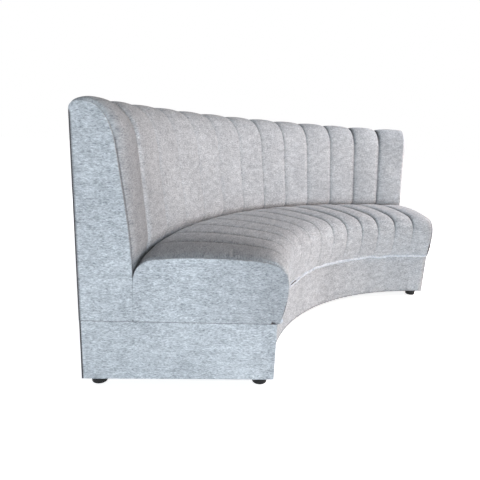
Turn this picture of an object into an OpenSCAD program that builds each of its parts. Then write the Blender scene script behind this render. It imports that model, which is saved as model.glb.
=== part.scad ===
// Curved booth bench with a channelled seat and back, in millimetres, +Z up.
// The origin lies on the floor, under the middle of the bench's bounding box.
// The open, sitting side faces -Y. The centre of the curve lies on the Y axis.
// Outlines are drawn as [radius from the centre of the curve, height above the floor].

/* [Plan] */
// Angle swept from one end face to the other
sweep_deg = 90; // [75:1:100]
// Radius of the front face of the plinth
plinth_front_r = 945; // [850:5:1200]
// Depth of the plinth, from its front face to its back face
plinth_depth = 630; // [610:5:700]
// Number of sewn channels, the same in the seat and in the back
channel_count = 13; // [9:1:15]

/* [Heights] */
// Height of the feet, from the floor to the underside of the plinth
foot_h = 32; // [26:1:60]
// Height of the plinth above its feet
plinth_h = 203; // [140:1:240]
// Height of the seat's top seam on its end panel, above the plinth
seat_seam_h = 209; // [195:1:240]
// Height of the back's top seam on its end panel, above the plinth
back_seam_h = 664; // [600:1:760]

/* [Seat] */
// How far the fullest part of the seat front stands ahead of the plinth
seat_overhang = 30; // [15:1:45]
// How far the bottom seam of the seat front stands ahead of the plinth
seat_tuck = 8; // [4:1:12]
// Height of the fullest part of the seat front, above the plinth
seat_full_h = 120; // [100:1:140]
// Depth of the rolled nose, from the fullest part to the flat top
seat_nose_d = 80; // [60:1:100]
// Height by which the middle of the seat top is crowned over its seams
seat_crown = 8; // [2:1:14]
// Depth of the roll where the seat top turns down behind the sitter
seat_rear_roll_d = 83; // [60:1:100]
// Height of that roll
seat_rear_roll_h = 74; // [50:1:90]
// How far the padding stands above the end seams
seat_rise = 11; // [6:1:18]
// Depth of the sewn valleys between the seat's channels
seat_valley = 9; // [4:1:12]
// Padding of the channelled seat cover at its end seams
seat_pad_t = 12; // [10:1:14]

/* [Back] */
// Thickness of the back where it meets the seat
back_foot_t = 169; // [160:1:185]
// Thickness of the back where its top roll begins
back_top_t = 127; // [115:1:140]
// How far the back stands out behind the plinth
back_proud = 2; // [1:1:4]
// Height of the lower end of the back cover, above the plinth
back_tuck_h = 150; // [140:1:160]
// Height at which the back's padding is full, above the plinth
back_full_h = 236; // [225:1:260]
// Height of the rolled front edge along the top
back_roll_h = 122; // [90:1:140]
// Width of the rolled rear edge along the top
back_rear_roll_w = 40; // [25:1:50]
// Height of the rolled rear edge, down to the outside back's seam
back_rear_roll_h = 31; // [24:1:40]
// How far the padding stands ahead of the end seams
back_rise = 29; // [18:1:36]
// Depth of the sewn valleys between the back's channels
back_valley = 8; // [4:1:12]
// Padding of the channelled back cover at its end seams
back_pad_t = 8; // [6:1:10]
// Foam between the back cover and the inside back skin
back_foam_t = 12; // [10:1:16]

/* [Frame] */
// Thickness of the curved boards and the end boards of the plinth
board_t = 12; // [9:1:18]
// Thickness of the plinth's top and bottom plates
plate_t = 15; // [12:1:18]
// Thickness of the ribs
rib_t = 18; // [15:1:24]
// Thickness of the seat's base, rails and deck
rail_t = 12; // [9:1:15]
// Height of the seat deck's underside, above the plinth
deck_h = 95; // [85:1:105]
// Thickness of the bent skins of the back
skin_t = 5; // [4:0.5:6]
// Height of the shaped rail along the top of the back
top_rail_h = 42; // [38:1:48]

/* [Covers] */
// Fabric of the plinth and of the outside back, with its lining
fabric_t = 2; // [1.5:0.5:3]
// End panels of the seat and back, fabric over wadding
end_panel_t = 8; // [6:1:12]
// Dust cover under the plinth
dust_t = 0.8; // [0.6:0.2:1.2]

/* [Feet and fasteners] */
// Diameter of a foot
foot_d = 54; // [44:1:60]
// Distance from the end faces and the front and back faces to the centre of an end foot
foot_inset = 45; // [40:1:70]
// Distance from the front and back faces to the centre of a middle foot
foot_mid_inset = 120; // [100:1:160]
// Thread diameter of the bolts and foot studs
bolt_d = 8; // [6:1:10]
// Length of a foot stud
stud_l = 42; // [38:1:48]
// Length of a bolt that holds the seat or back down
base_bolt_l = 32; // [30:1:40]
// Length of a bolt that joins the back to the seat
back_bolt_l = 40; // [38:1:45]

/* [Hidden] */

// Facets in a full turn of the curved boards
arc_fn = 360;

// Clearance between pieces that meet, clearance round a bolt, and overrun of every cut
fit_gap = 0.3;
bolt_gap = 0.4;
overrun = 5;

// Radii and heights that the pieces share
plinth_back_r = plinth_front_r + plinth_depth;
out_r = plinth_back_r + back_proud;
split_r = out_r - back_foot_t;
full_r = plinth_front_r - seat_overhang;
plinth_z = foot_h + plinth_h;
board_z = foot_h + dust_t;
deck_z = plinth_z + deck_h;
back_z = plinth_z + back_seam_h;
rear_seam_z = back_z - back_rear_roll_h;
half_deg = sweep_deg / 2;

// The bounding box runs from the seat's front corners to the middle of the outside back
centre_y = -(out_r + full_r * cos(half_deg)) / 2;

// Angles of the three inner ribs, and of the bolts between them
rib_angle_share = [-0.5, 0, 0.5];
bolt_angle_share = [-0.75, -0.25, 0.25, 0.75];

// Curves: a cubic with four control points, its direction, and a string of cubics
function cubic(p, t) =
    pow(1 - t, 3) * p[0] + 3 * t * pow(1 - t, 2) * p[1] + 3 * t * t * (1 - t) * p[2] + pow(t, 3) * p[3];
function cubic_slope(p, t) =
    3 * (pow(1 - t, 2) * (p[1] - p[0]) + 2 * t * (1 - t) * (p[2] - p[1]) + t * t * (p[3] - p[2]));
function outward(v) = [-v[1], v[0]] / norm(v);
function station(p, t) = [cubic(p, t), outward(cubic_slope(p, t))];
function trace(curves, steps) = concat(
    [for (k = [0:len(curves) - 1]) for (i = [0:steps[k] - 1]) station(curves[k], i / steps[k])],
    [station(curves[len(curves) - 1], 1)]
);
function between(from, to, share) = let (run = to - from) [
    from,
    from + [run[0] * share[0][0], run[1] * share[0][1]],
    to - [run[0] * share[1][0], run[1] * share[1][1]],
    to
];
function shifted(line, d) = [for (s = line) s[0] + d * s[1]];
function reversed(list) = [for (i = [len(list) - 1:-1:0]) list[i]];

// Seat seam: up the front from the bottom seam, over the nose, along the top and down the rear roll.
// A curve's shares place its two inner control points between its ends, as [across, up].
seat_front_share = [[0.55, 0.3], [0, 0.35]];
seat_nose_share = [[0, 0.62], [0.7, 0.08]];
seat_top_share = [1, 4 / 3];
seat_rear_share = [[0.55, 0], [0, 0.7]];
seat_top_z = plinth_z + seat_seam_h;
seam_start = [plinth_front_r - seat_tuck, plinth_z + fabric_t];
full_point = [full_r, plinth_z + seat_full_h];
nose_end = [full_r + seat_nose_d, seat_top_z];
rear_start = [split_r - fit_gap - seat_rear_roll_d, seat_top_z];
rear_end = [split_r - fit_gap, seat_top_z - seat_rear_roll_h];
seat_curves = [
    between(seam_start, full_point, seat_front_share),
    between(full_point, nose_end, seat_nose_share),
    [
        nose_end,
        nose_end + [seat_nose_d * seat_top_share[0], seat_crown * seat_top_share[1]],
        rear_start + [-seat_nose_d * seat_top_share[0], seat_crown * seat_top_share[1]],
        rear_start
    ],
    between(rear_start, rear_end, seat_rear_share)
];

// Back seam: up from behind the seat, up the lean, over the front roll and down the rear roll
fill_share = 0.14;
back_tuck_share = [[0, 0.33], [0.5, 0.33]];
back_lean_share = [[0.2, 0.33], [0.36, 0.33]];
back_front_share = [[0.1, 0.53], [0.61, 0]];
back_rear_share = [[0.57, 0], [0, 0.77]];
tuck_point = [split_r, plinth_z + back_tuck_h];
fill_point = [split_r + back_rise * fill_share, plinth_z + back_full_h];
lean_end = [out_r - back_top_t, back_z - back_roll_h];
crest_point = [out_r - back_rear_roll_w, back_z];
rear_point = [out_r, rear_seam_z];
back_curves = [
    between(tuck_point, fill_point, back_tuck_share),
    between(fill_point, lean_end, back_lean_share),
    between(lean_end, crest_point, back_front_share),
    between(crest_point, rear_point, back_rear_share)
];

// Steps along each curve: fine on the covers' faces, coarse under them, and on the rigid pieces
seat_face_steps = [3, 4, 3, 3];
seat_foam_steps = [1, 3, 1, 2];
back_face_steps = [3, 4, 4, 2];
back_foam_steps = [1, 2, 3, 1];
seam_steps = [4, 8, 6, 6];

// Shares of the rise and of the valleys' depth, point by point along each cover
seat_rise_share = [0, 0.15, 0.2, 0.3, 0.45, 0.6, 0.75, 0.9, 1, 1, 0.8, 0.35, 0.05, 0];
seat_valley_share = [0, 0.3, 0.4, 0.5, 0.7, 0.9, 1, 1, 0.9, 0.8, 0.6, 0.4, 0.15, 0];
back_rise_share = [0, 0.08, 0.6, 1.15, 1.1, 1, 0.98, 0.96, 0.85, 0.7, 0.5, 0.36, 0.14, 0];
back_valley_share = [0, 0.1, 0.6, 1, 1, 1, 1, 1, 1, 1, 0.95, 0.8, 0.45, 0];

// Channels: steps round each one, its swell, and how the padding rolls down to the end seams
channel_steps = 4;
roll_share = 0.4;
function swell(step) = let (u = (step % channel_steps) / channel_steps) sqrt(1 - pow(2 * u - 1, 2));
function end_roll(step) =
    let (
        last = channel_count * channel_steps,
        x = min(1, min(step, last - step) / channel_steps / roll_share)
    )
    sqrt(1 - pow(1 - x, 2));

// A point on a cover: its share of the sweep, from -1 to 1, ends level with the end panels
function placed(share, p) =
    let (a = share * (half_deg - asin((end_panel_t + fit_gap) / p[0])))
    [p[0] * sin(a), centre_y + p[0] * cos(a), p[1]];

// Channelled cover between the face line and the line of the foam under it
module channelled_cover(face, under, rise, rise_table_share, valley, valley_table_share) {
    n = len(face);
    m = len(under);
    loop = n + m;
    last = channel_count * channel_steps;
    points = [
        for (k = [0:last]) each concat(
            [
                for (i = [0:n - 1]) placed(
                    2 * k / last - 1,
                    face[i][0] + face[i][1] * (
                        rise * rise_table_share[i] * end_roll(k)
                        + valley * valley_table_share[i] * swell(k)
                    )
                )
            ],
            [for (j = [m - 1:-1:0]) placed(2 * k / last - 1, under[j])]
        )
    ];
    sides = [
        for (k = [0:last - 1]) for (i = [0:loop - 1]) each [
            [k * loop + i, k * loop + (i + 1) % loop, (k + 1) * loop + (i + 1) % loop],
            [k * loop + i, (k + 1) * loop + (i + 1) % loop, (k + 1) * loop + i]
        ]
    ];
    near = [for (i = [0:n - 1]) loop - 1 - round(i * (m - 1) / (n - 1))];
    cap = [
        for (i = [0:n - 2]) each concat(
            [[i, near[i], i + 1]],
            near[i] == near[i + 1] ? [] : [[i + 1, near[i], near[i + 1]]]
        )
    ];
    far_cap = [for (f = cap) [for (v = reversed(f)) last * loop + v]];
    polyhedron(points, concat(sides, cap, far_cap));
}

// Puts what is drawn at the centre of the curve in its place
module at_centre() {
    translate([0, centre_y, 0]) children();
}

// Ring sector with the outline of its children, its ends cut parallel to the end faces
module curved(inset) {
    at_centre() difference() {
        rotate([0, 0, 90 - half_deg]) rotate_extrude(angle = sweep_deg, $fn = arc_fn) children();
        for (side = [-1, 1]) rotate([0, 0, -side * half_deg]) mirror([side < 0 ? 1 : 0, 0, 0])
            translate([-inset, 0, -overrun])
                cube([inset + overrun, out_r + overrun, back_z + back_rise + 2 * overrun]);
    }
}

// Plain curved board or plate from one radius to another
module curved_board(inset, r_from, r_to, z_from, z_to) {
    curved(inset) translate([r_from, z_from]) square([r_to - r_from, z_to - z_from]);
}

// Flat board standing on a radius, its left face at x_from
module radial_board(angle, x_from, thick) {
    at_centre() rotate([0, 0, -angle]) translate([x_from, 0, 0])
        rotate([90, 0, 90]) linear_extrude(thick) children();
}

// The same board at an end, its outer face inset from the end face
module end_board(side, inset, thick) {
    radial_board(side * half_deg, side < 0 ? inset : -inset - thick, thick) children();
}

// Places on a circle round the centre, upright or along the radius
module at_place(angle, r, z) {
    at_centre() rotate([0, 0, -angle]) translate([0, r, z]) children();
}

// Foot: a moulded puck with a slightly drawn-in side and a rounded lower edge
foot_taper = 1.5;
foot_edge_r = 5;
foot_socket_l = 22;
foot_stud_z = foot_h - foot_socket_l;
foot_front_r = plinth_front_r + foot_inset;
foot_back_r = plinth_back_r - foot_inset;
function end_foot_deg(r) = half_deg - asin(foot_inset / r);
foot_places = [
    [-end_foot_deg(foot_front_r), foot_front_r],
    [0, plinth_front_r + foot_mid_inset],
    [end_foot_deg(foot_front_r), foot_front_r],
    [-end_foot_deg(foot_back_r), foot_back_r],
    [0, plinth_back_r - foot_mid_inset],
    [end_foot_deg(foot_back_r), foot_back_r]
];

module at_foot(i) {
    at_place(foot_places[i][0], foot_places[i][1], 0) children();
}

module foot(i) {
    base_r = foot_d / 2 - foot_taper;
    color("black") at_foot(i) difference() {
        rotate_extrude($fn = 64) polygon(concat(
            [[0, 0]],
            [for (a = [0:15:90]) [base_r - foot_edge_r * (1 - sin(a)), foot_edge_r * (1 - cos(a))]],
            [[foot_d / 2, foot_h], [0, foot_h]]
        ));
        translate([0, 0, foot_stud_z]) cylinder(d = bolt_d + bolt_gap, h = foot_h, $fn = 32);
    }
}

module foot_studs() {
    color("silver") for (i = [0:len(foot_places) - 1]) at_foot(i)
        translate([0, 0, foot_stud_z]) cylinder(d = bolt_d, h = stud_l, $fn = 32);
}

// Tee nut: a flange on the face of a plate and a barrel in its hole
tee_flange_d = 22;
tee_flange_t = 1.5;
tee_barrel_d = 11;
tee_barrel_l = 11;
module tee_nut() {
    difference() {
        union() {
            cylinder(d = tee_flange_d, h = tee_flange_t, $fn = 48);
            translate([0, 0, -tee_barrel_l]) cylinder(d = tee_barrel_d, h = tee_barrel_l, $fn = 48);
        }
        translate([0, 0, -tee_barrel_l - overrun])
            cylinder(d = bolt_d + bolt_gap, h = tee_barrel_l + tee_flange_t + 2 * overrun, $fn = 32);
    }
}

module foot_tee_nuts() {
    color("silver") for (i = [0:len(foot_places) - 1]) at_foot(i)
        translate([0, 0, board_z + plate_t]) tee_nut();
}

// Plinth: a closed box of boards and plates with three ribs, covered in fabric
inner_front_r = plinth_front_r + fabric_t + board_t;
inner_back_r = plinth_back_r - fabric_t - board_t;

module foot_holes(d) {
    for (i = [0:len(foot_places) - 1]) at_foot(i) cylinder(d = d, h = plinth_z, $fn = 32);
}

module dust_cover() {
    color("dimgray") difference() {
        curved_board(fabric_t, plinth_front_r + fabric_t, plinth_back_r - fabric_t, foot_h, board_z);
        foot_holes(bolt_d + bolt_gap);
    }
}

module plinth_bottom_plate() {
    color("burlywood") difference() {
        curved_board(fabric_t + board_t, inner_front_r, inner_back_r, board_z, board_z + plate_t);
        foot_holes(tee_barrel_d + bolt_gap);
    }
}

module base_bolt_holes(r, d) {
    for (share = bolt_angle_share) at_place(share * half_deg, r, plinth_z - plate_t - overrun)
        cylinder(d = d, h = plate_t + rail_t + 2 * overrun, $fn = 32);
}

seat_bolt_r = (full_r + split_r) / 2;
back_bolt_r = (split_r + out_r) / 2;

module plinth_top_plate() {
    color("burlywood") difference() {
        curved_board(fabric_t + board_t, inner_front_r, inner_back_r, plinth_z - plate_t, plinth_z);
        base_bolt_holes(seat_bolt_r, tee_barrel_d + bolt_gap);
        base_bolt_holes(back_bolt_r, tee_barrel_d + bolt_gap);
    }
}

module plinth_front_board() {
    color("burlywood")
        curved_board(fabric_t + board_t, plinth_front_r + fabric_t, inner_front_r, board_z, plinth_z);
}

module plinth_back_board() {
    color("burlywood")
        curved_board(fabric_t + board_t, inner_back_r, plinth_back_r - fabric_t, board_z, plinth_z);
}

module plinth_end_board(side) {
    color("burlywood") end_board(side, fabric_t, board_t)
        translate([plinth_front_r + fabric_t, board_z])
            square([plinth_depth - 2 * fabric_t - fit_gap, plinth_z - board_z]);
}

// A plinth rib is notched over the tee nut and stud of a foot that stands under it
module plinth_rib(i) {
    color("burlywood") difference() {
        radial_board(rib_angle_share[i] * half_deg, -rib_t / 2, rib_t)
            translate([inner_front_r, board_z + plate_t])
                square([inner_back_r - inner_front_r - fit_gap, plinth_z - board_z - 2 * plate_t]);
        for (place = [0:len(foot_places) - 1]) at_foot(place)
            cylinder(d = tee_flange_d + bolt_gap, h = foot_stud_z + stud_l + bolt_gap, $fn = 48);
    }
}

module plinth_front_cover() {
    color("lightgray")
        curved_board(fabric_t, plinth_front_r, plinth_front_r + fabric_t, foot_h, plinth_z);
}

module plinth_back_cover() {
    color("lightgray")
        curved_board(fabric_t, plinth_back_r - fabric_t, plinth_back_r, foot_h, plinth_z);
}

module plinth_end_cover(side) {
    color("lightgray") end_board(side, 0, fabric_t)
        translate([plinth_front_r, foot_h]) square([plinth_depth - fit_gap, plinth_h]);
}

// Seat unit: base, two curved rails, five ribs and a deck, then foam and the channelled cover
seat_rail_r = seam_start[0] + seat_pad_t + fit_gap;
seat_unit_r = split_r - fit_gap;
seat_rib_z = plinth_z + rail_t;
back_bolt_z = (seat_rib_z + deck_z) / 2;

module back_bolt_holes() {
    for (share = bolt_angle_share) at_place(share * half_deg, split_r - rail_t - overrun, back_bolt_z)
        rotate([-90, 0, 0]) cylinder(d = bolt_d + bolt_gap, h = 2 * (rail_t + overrun), $fn = 32);
}

module seat_base_panel() {
    color("burlywood") difference() {
        curved_board(end_panel_t, seat_rail_r, seat_unit_r, plinth_z, seat_rib_z);
        base_bolt_holes(seat_bolt_r, bolt_d + bolt_gap);
    }
}

module seat_front_rail() {
    color("burlywood")
        curved_board(end_panel_t + rib_t, seat_rail_r, seat_rail_r + rail_t, seat_rib_z, deck_z);
}

module seat_back_rail() {
    color("burlywood") difference() {
        curved_board(end_panel_t + rib_t, seat_unit_r - rail_t, seat_unit_r, seat_rib_z, deck_z);
        back_bolt_holes();
    }
}

module seat_end_rib(side) {
    color("burlywood") end_board(side, end_panel_t, rib_t) translate([seat_rail_r, seat_rib_z])
        square([seat_unit_r - seat_rail_r - fit_gap, deck_z - seat_rib_z]);
}

module seat_rib(i) {
    color("burlywood") radial_board(rib_angle_share[i] * half_deg, -rib_t / 2, rib_t)
        translate([seat_rail_r + rail_t, seat_rib_z])
            square([seat_unit_r - seat_rail_r - 2 * rail_t - fit_gap, deck_z - seat_rib_z]);
}

module seat_deck() {
    color("burlywood")
        curved_board(end_panel_t, seat_rail_r, seat_unit_r, deck_z, deck_z + rail_t);
}

module seat_foam() {
    under = shifted(trace(seat_curves, seat_foam_steps), -seat_pad_t - fit_gap);
    count = len(under);
    deck_top = deck_z + rail_t;
    color("khaki") curved(end_panel_t + fit_gap) polygon(concat(
        [for (i = [1:count - 1]) under[i]],
        [
            [under[count - 1][0], deck_top],
            [seat_rail_r, deck_top],
            [seat_rail_r, seat_rib_z],
            [seat_rail_r - fit_gap, seat_rib_z]
        ]
    ));
}

module seat_channelled_cover() {
    color("silver") channelled_cover(
        trace(seat_curves, seat_face_steps),
        shifted(trace(seat_curves, seat_foam_steps), -seat_pad_t),
        seat_rise, seat_rise_share, seat_valley, seat_valley_share
    );
}

module seat_end_panel(side) {
    color("lightsteelblue") end_board(side, 0, end_panel_t) polygon(concat(
        [for (s = trace(seat_curves, seam_steps)) s[0]],
        [[split_r - fit_gap, plinth_z], [seat_rail_r, plinth_z]]
    ));
}

// Back unit: base plate, five ribs shaped to the lean, rails and skins, then foam and covers
skin_line_t = back_pad_t + back_foam_t;
back_rib_z = plinth_z + rail_t;
top_rail_z = rear_seam_z - top_rail_h / 2;
back_frame_r = out_r - fabric_t - skin_t;
lean_line = trace([back_curves[0], back_curves[1]], [seam_steps[0], seam_steps[1]]);
roll_line = shifted(trace([back_curves[2]], [seam_steps[2]]), -skin_line_t);
rib_roll = [for (p = roll_line) if (p[1] < top_rail_z) p];
rail_roll = [for (p = roll_line) if (p[1] > top_rail_z) p];

module back_base_plate() {
    color("burlywood") difference() {
        curved_board(end_panel_t, split_r, back_frame_r, plinth_z, back_rib_z);
        base_bolt_holes(back_bolt_r, bolt_d + bolt_gap);
    }
}

module back_lower_rail() {
    color("burlywood") difference() {
        curved_board(end_panel_t + rib_t, split_r, split_r + rail_t, back_rib_z, deck_z);
        back_bolt_holes();
    }
}

// Rib outline: its front carries the inside back skin, and steps forward where the skin ends
module back_rib_outline() {
    polygon(concat(
        [[split_r + rail_t, back_rib_z], [split_r + rail_t, deck_z]],
        shifted(lean_line, -skin_line_t - skin_t),
        rib_roll,
        [
            [rail_roll[0][0], top_rail_z],
            [back_frame_r - fit_gap, top_rail_z],
            [back_frame_r - fit_gap, back_rib_z]
        ]
    ));
}

module back_rib(i) {
    color("burlywood") radial_board(rib_angle_share[i] * half_deg, -rib_t / 2, rib_t) back_rib_outline();
}

module back_end_rib(side) {
    color("burlywood") end_board(side, end_panel_t, rib_t) back_rib_outline();
}

// Top rail: shaped to the front roll, with a ledge for the foam's rear edge
module back_top_rail() {
    rear = shifted(trace([back_curves[3]], [seam_steps[3]]), -skin_line_t);
    color("burlywood") curved(end_panel_t) polygon(concat(
        [[rail_roll[0][0], top_rail_z]],
        rail_roll,
        [for (i = [1:len(rear) - 1]) rear[i]],
        [[back_frame_r, rear_seam_z], [back_frame_r, top_rail_z]]
    ));
}

module back_inner_skin() {
    color("tan") curved(end_panel_t) polygon(concat(
        shifted(lean_line, -skin_line_t),
        reversed(shifted(lean_line, -skin_line_t - skin_t))
    ));
}

module back_outer_skin() {
    color("tan")
        curved_board(end_panel_t, back_frame_r, back_frame_r + skin_t, plinth_z, rear_seam_z);
}

module back_foam() {
    line = trace(back_curves, back_foam_steps);
    color("khaki") curved(end_panel_t + fit_gap) polygon(concat(
        shifted(line, -back_pad_t - fit_gap),
        reversed(shifted(trace(back_curves, seam_steps), -skin_line_t))
    ));
}

module back_channelled_cover() {
    color("silver") channelled_cover(
        trace(back_curves, back_face_steps),
        shifted(trace(back_curves, back_foam_steps), -back_pad_t),
        back_rise, back_rise_share, back_valley, back_valley_share
    );
}

module outside_back_cover() {
    color("lightgray")
        curved_board(end_panel_t, out_r - fabric_t, out_r, plinth_z, rear_seam_z);
}

module back_end_panel(side) {
    color("lightsteelblue") end_board(side, 0, end_panel_t) polygon(concat(
        [[split_r, plinth_z]],
        [for (s = trace(back_curves, seam_steps)) s[0]],
        [[out_r, plinth_z]]
    ));
}

// Fasteners: hex bolts into tee nuts under the plinth's top plate, and through the two rails
head_d = 15;
head_t = 5.3;
nut_t = 6.5;

module hex_bolt(length) {
    cylinder(d = head_d, h = head_t, $fn = 6);
    translate([0, 0, -length]) cylinder(d = bolt_d, h = length + head_t / 2, $fn = 32);
}

module hex_nut() {
    difference() {
        cylinder(d = head_d, h = nut_t, $fn = 6);
        translate([0, 0, -overrun]) cylinder(d = bolt_d + bolt_gap, h = nut_t + 2 * overrun, $fn = 32);
    }
}

module base_bolts() {
    color("silver") for (share = bolt_angle_share) for (r = [seat_bolt_r, back_bolt_r])
        at_place(share * half_deg, r, seat_rib_z) hex_bolt(base_bolt_l);
}

module base_tee_nuts() {
    color("silver") for (share = bolt_angle_share) for (r = [seat_bolt_r, back_bolt_r])
        at_place(share * half_deg, r, plinth_z - plate_t) mirror([0, 0, 1]) tee_nut();
}

module back_bolts() {
    color("silver") for (share = bolt_angle_share)
        at_place(share * half_deg, seat_unit_r - rail_t - fit_gap, back_bolt_z)
            rotate([90, 0, 0]) hex_bolt(back_bolt_l);
}

module back_bolt_nuts() {
    color("silver") for (share = bolt_angle_share)
        at_place(share * half_deg, split_r + rail_t, back_bolt_z) rotate([-90, 0, 0]) hex_nut();
}

foot(0);  // foot_front_left
foot(1);  // foot_front_centre
foot(2);  // foot_front_right
foot(3);  // foot_back_left
foot(4);  // foot_back_centre
foot(5);  // foot_back_right
foot_studs();
foot_tee_nuts();
dust_cover();
plinth_bottom_plate();
plinth_front_board();
plinth_back_board();
plinth_end_board(-1);  // plinth_end_board_left
plinth_end_board(1);  // plinth_end_board_right
plinth_rib(0);  // plinth_rib_left
plinth_rib(1);  // plinth_rib_centre
plinth_rib(2);  // plinth_rib_right
plinth_top_plate();
plinth_front_cover();
plinth_back_cover();
plinth_end_cover(-1);  // plinth_end_cover_left
plinth_end_cover(1);  // plinth_end_cover_right
seat_base_panel();
seat_front_rail();
seat_back_rail();
seat_end_rib(-1);  // seat_end_rib_left
seat_rib(0);  // seat_rib_left
seat_rib(1);  // seat_rib_centre
seat_rib(2);  // seat_rib_right
seat_end_rib(1);  // seat_end_rib_right
seat_deck();
seat_foam();
seat_channelled_cover();
seat_end_panel(-1);  // seat_end_panel_left
seat_end_panel(1);  // seat_end_panel_right
back_base_plate();
back_lower_rail();
back_end_rib(-1);  // back_end_rib_left
back_rib(0);  // back_rib_left
back_rib(1);  // back_rib_centre
back_rib(2);  // back_rib_right
back_end_rib(1);  // back_end_rib_right
back_top_rail();
back_inner_skin();
back_outer_skin();
back_foam();
back_channelled_cover();
outside_back_cover();
back_end_panel(-1);  // back_end_panel_left
back_end_panel(1);  // back_end_panel_right
base_bolts();
base_tee_nuts();
back_bolts();
back_bolt_nuts();
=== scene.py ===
import math
import random

import bmesh
import bpy
from mathutils import Matrix, Vector, noise
from mathutils.geometry import interpolate_bezier, intersect_point_line


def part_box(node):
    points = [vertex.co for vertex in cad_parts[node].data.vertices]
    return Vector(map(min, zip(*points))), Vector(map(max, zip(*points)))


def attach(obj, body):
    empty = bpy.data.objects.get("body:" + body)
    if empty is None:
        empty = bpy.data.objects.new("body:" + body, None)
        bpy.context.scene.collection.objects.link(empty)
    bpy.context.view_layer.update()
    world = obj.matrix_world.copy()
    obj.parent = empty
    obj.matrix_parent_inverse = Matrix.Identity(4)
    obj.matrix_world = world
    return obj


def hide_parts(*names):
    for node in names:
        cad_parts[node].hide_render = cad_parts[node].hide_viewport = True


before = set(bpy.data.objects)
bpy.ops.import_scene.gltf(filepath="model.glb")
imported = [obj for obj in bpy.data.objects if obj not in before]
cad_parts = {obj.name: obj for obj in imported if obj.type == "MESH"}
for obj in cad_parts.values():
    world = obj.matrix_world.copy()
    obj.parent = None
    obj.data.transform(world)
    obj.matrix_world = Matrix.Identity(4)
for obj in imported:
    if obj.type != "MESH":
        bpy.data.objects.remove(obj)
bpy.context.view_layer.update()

# Feet: six low glides of moulded black plastic with a rounded lower edge and a fine eggshell grain.
# Each one screws up into the plinth on its own steel stud, so only the puck shows.


class Wire:
    """An output socket of a finish. Sums, differences and products of it add Math nodes."""

    def __init__(self, finish, socket):
        self.finish = finish
        self.socket = socket

    def worked(self, operation, first, second=0.0):
        return self.finish.node("ShaderNodeMath", {"operation": operation}, {0: first, 1: second})

    def __add__(self, other):
        return self.worked("ADD", self, other)

    def __radd__(self, other):
        return self.worked("ADD", other, self)

    def __sub__(self, other):
        return self.worked("SUBTRACT", self, other)

    def __rsub__(self, other):
        return self.worked("SUBTRACT", other, self)

    def __mul__(self, other):
        return self.worked("MULTIPLY", self, other)

    def __rmul__(self, other):
        return self.worked("MULTIPLY", other, self)


class Finish:
    """The nodes of a material or of the world. node() adds one of any kind: settings, then sockets."""

    def __init__(self, wearer):
        wearer.use_nodes = True
        self.wearer = wearer
        self.tree = wearer.node_tree
        self.tree.nodes.clear()

    def node(self, kind, settings=None, sockets=None, output=0):
        made = self.tree.nodes.new(kind)
        for name, value in (settings or {}).items():
            setattr(made, name, value)
        for name, value in (sockets or {}).items():
            if isinstance(value, Wire):
                self.tree.links.new(value.socket, made.inputs[name])
            else:
                made.inputs[name].default_value = value
        return Wire(self, made.outputs[output]) if made.outputs else None

    def blend(self, share, low, high):
        """The colour low where share is 0 and high where it is 1."""
        return self.node("ShaderNodeMix", {"data_type": "RGBA"}, {0: share, 6: low, 7: high}, 2)

    def bump(self, height, depth):
        """A normal for a height from 0 to 1 over a relief of that depth in metres."""
        return self.node("ShaderNodeBump", {}, {"Height": height, "Distance": depth})

    def streaks(self, place, size, detail=2.0, shift=(0, 0, 0)):
        """Noise in grains of that size in metres along x, y and z, from 0 to 1 about 0.5."""
        scale = tuple(1 / s for s in size)
        spread = self.node(
            "ShaderNodeMapping", {}, {"Vector": place, "Location": shift, "Scale": scale}
        )
        return self.node("ShaderNodeTexNoise", {}, {"Vector": spread, "Scale": 1.0, "Detail": detail})

    def done(self, **sockets):
        """Ends the material in a principled surface with these sockets, and returns it."""
        named = {name.replace("_", " "): value for name, value in sockets.items()}
        shader = self.node("ShaderNodeBsdfPrincipled", {}, named)
        self.node("ShaderNodeOutputMaterial", {}, {"Surface": shader})
        return self.wearer


def moulded_plastic():
    finish = Finish(bpy.data.materials.new("moulded_black_plastic"))
    place = finish.node("ShaderNodeTexCoord", output=3)
    grain = finish.streaks(place, (0.0006, 0.0006, 0.0006))
    scuffs = finish.streaks(place, (0.012, 0.012, 0.002), 4.0)
    return finish.done(
        Base_Color=finish.blend(scuffs, (0.004, 0.004, 0.005, 1), (0.012, 0.012, 0.013, 1)),
        Specular_IOR_Level=0.25,
        Roughness=0.38 + 0.25 * scuffs,
        Normal=finish.bump(grain, 0.0001),
    )


def finished(material, names):
    """Gives carried-over pieces their material."""
    for name in names:
        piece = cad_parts[name]
        piece.data.materials.clear()
        piece.data.materials.append(material)


feet = [f"foot_{row}_{place}" for row in ("front", "back") for place in ("left", "centre", "right")]
finished(moulded_plastic(), feet)

# Fasteners: zinc-plated foot studs, tee nuts, hex bolts and hex nuts, all inside the bench.
# The tee nuts are knocked into the plates, and the bolts pull the seat and back down on the plinth.


def zinc_plate():
    finish = Finish(bpy.data.materials.new("zinc_plated_steel"))
    place = finish.node("ShaderNodeTexCoord", output=3)
    frost = finish.streaks(place, (0.004, 0.004, 0.004), 3.0)
    return finish.done(
        Base_Color=finish.blend(frost, (0.42, 0.44, 0.46, 1), (0.68, 0.70, 0.72, 1)),
        Metallic=1.0,
        Roughness=0.28 + 0.22 * frost,
    )


finished(
    zinc_plate(),
    ["foot_studs", "foot_tee_nuts", "base_bolts", "base_tee_nuts", "back_bolts", "back_bolt_nuts"],
)

# Frame: birch plywood, cut boards and plates with bent skins, glued and stapled into three boxes.
# The plinth box carries the seat box and the back, and all of it is closed in by the covers.


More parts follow.
